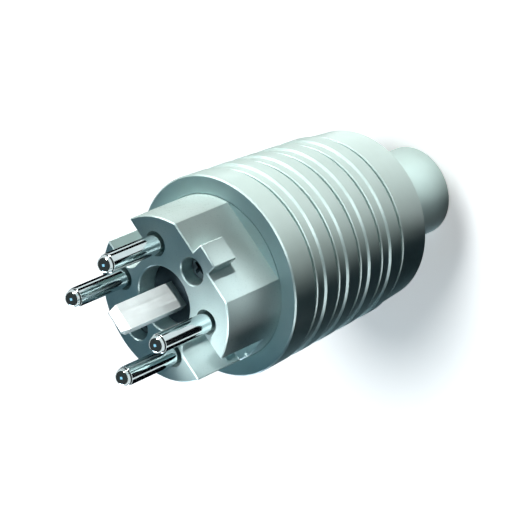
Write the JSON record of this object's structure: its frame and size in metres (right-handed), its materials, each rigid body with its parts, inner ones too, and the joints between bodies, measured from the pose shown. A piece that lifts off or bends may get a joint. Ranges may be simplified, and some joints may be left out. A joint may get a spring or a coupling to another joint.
{
  "type": "industrial plug",
  "caption": "Round industrial three-phase plug with a ribbed housing, a keyed and slotted contact carrier, round pins, a flat earth blade and a flared cable outlet.",
  "frame": {"origin": "centre of the cable outlet's flat end face, on which the plug stands", "axes": "+Z along the plug's axis from the cable outlet to the pins; the carrier's keyed flat faces -Y; the two guide slots face +X and -X"},
  "size_m": [0.0532, 0.0532, 0.1171],
  "materials": {
    "housing_plastic": "satin moulded grey-green",
    "outlet_plastic": "satin moulded grey-green",
    "carrier_plastic": "satin moulded grey-green",
    "plated_pin": "polished nickel plate",
    "plated_blade": "satin nickel plate",
    "plate_steel": "dull",
    "screw_steel": "bright zinc",
    "insert_brass": "turned",
    "terminal_brass": "turned",
    "clamp_plastic": "moulded dark grey"
  },
  "bodies": {
    "root": {"housing": "housing_plastic", "cable_outlet": "outlet_plastic", "contact_carrier": "carrier_plastic", "pin_1": "plated_pin", "pin_2": "plated_pin", "pin_3": "plated_pin", "pin_4": "plated_pin", "earth_blade": "plated_blade", "earth_plate": "plate_steel", "fixing_screw_1": "screw_steel", "fixing_screw_2": "screw_steel", "threaded_insert_1": "insert_brass", "threaded_insert_2": "insert_brass", "pin_terminal_1": "terminal_brass", "pin_terminal_2": "terminal_brass", "pin_terminal_3": "terminal_brass", "pin_terminal_4": "terminal_brass", "terminal_screw_1": "screw_steel", "terminal_screw_2": "screw_steel", "terminal_screw_3": "screw_steel", "terminal_screw_4": "screw_steel", "earth_terminal": "terminal_brass", "earth_terminal_screw": "screw_steel", "cord_clamp_bar": "clamp_plastic", "cord_clamp_saddle": "clamp_plastic", "clamp_screw_1": "screw_steel", "clamp_screw_2": "screw_steel"}
  },
  "joints": []
}
